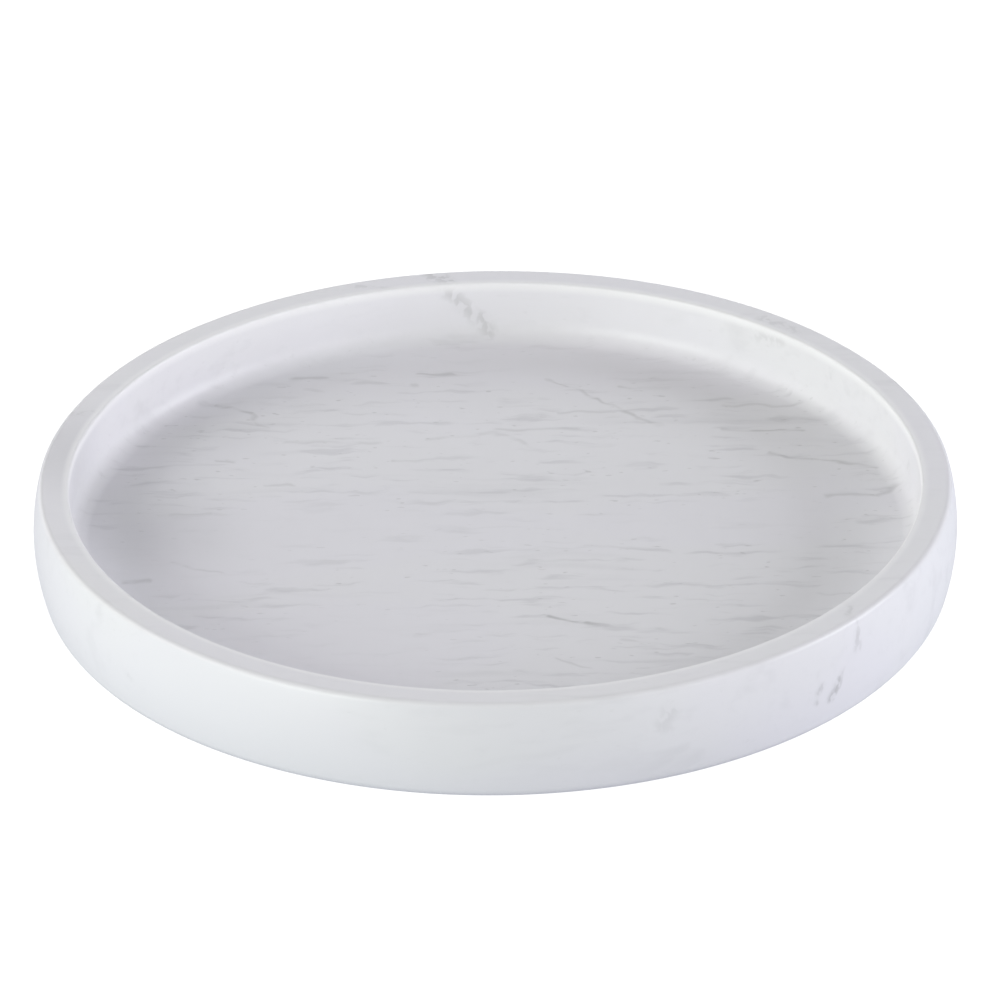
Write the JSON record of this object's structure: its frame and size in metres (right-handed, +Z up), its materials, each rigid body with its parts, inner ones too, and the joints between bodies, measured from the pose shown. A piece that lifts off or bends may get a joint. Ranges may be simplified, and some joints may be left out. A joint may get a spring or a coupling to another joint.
{
  "type": "vanity tray",
  "caption": "Round vanity tray of turned white marble with a flat rim, a shallow flat-floored hollow and felt pads under the stone.",
  "frame": {"origin": "on the surface that the tray stands on, under the tray's centre", "axes": "+Z up along the tray's axis of turning; the tray is round, so +X and +Y follow the marble's grain: its streaks run along X"},
  "size_m": [0.305, 0.305, 0.0379],
  "materials": {
    "marble": "white marble with fine grey veins, honed to a low satin sheen",
    "felt": "off-white pressed felt",
    "adhesive": "milky pressure-sensitive adhesive film"
  },
  "bodies": {
    "root": {"tray_body": "marble", "felt_pad_front_left": "felt", "felt_pad_front_right": "felt", "felt_pad_back_left": "felt", "felt_pad_back_right": "felt", "adhesive_disc_front_left": "adhesive", "adhesive_disc_front_right": "adhesive", "adhesive_disc_back_left": "adhesive", "adhesive_disc_back_right": "adhesive"}
  },
  "joints": []
}
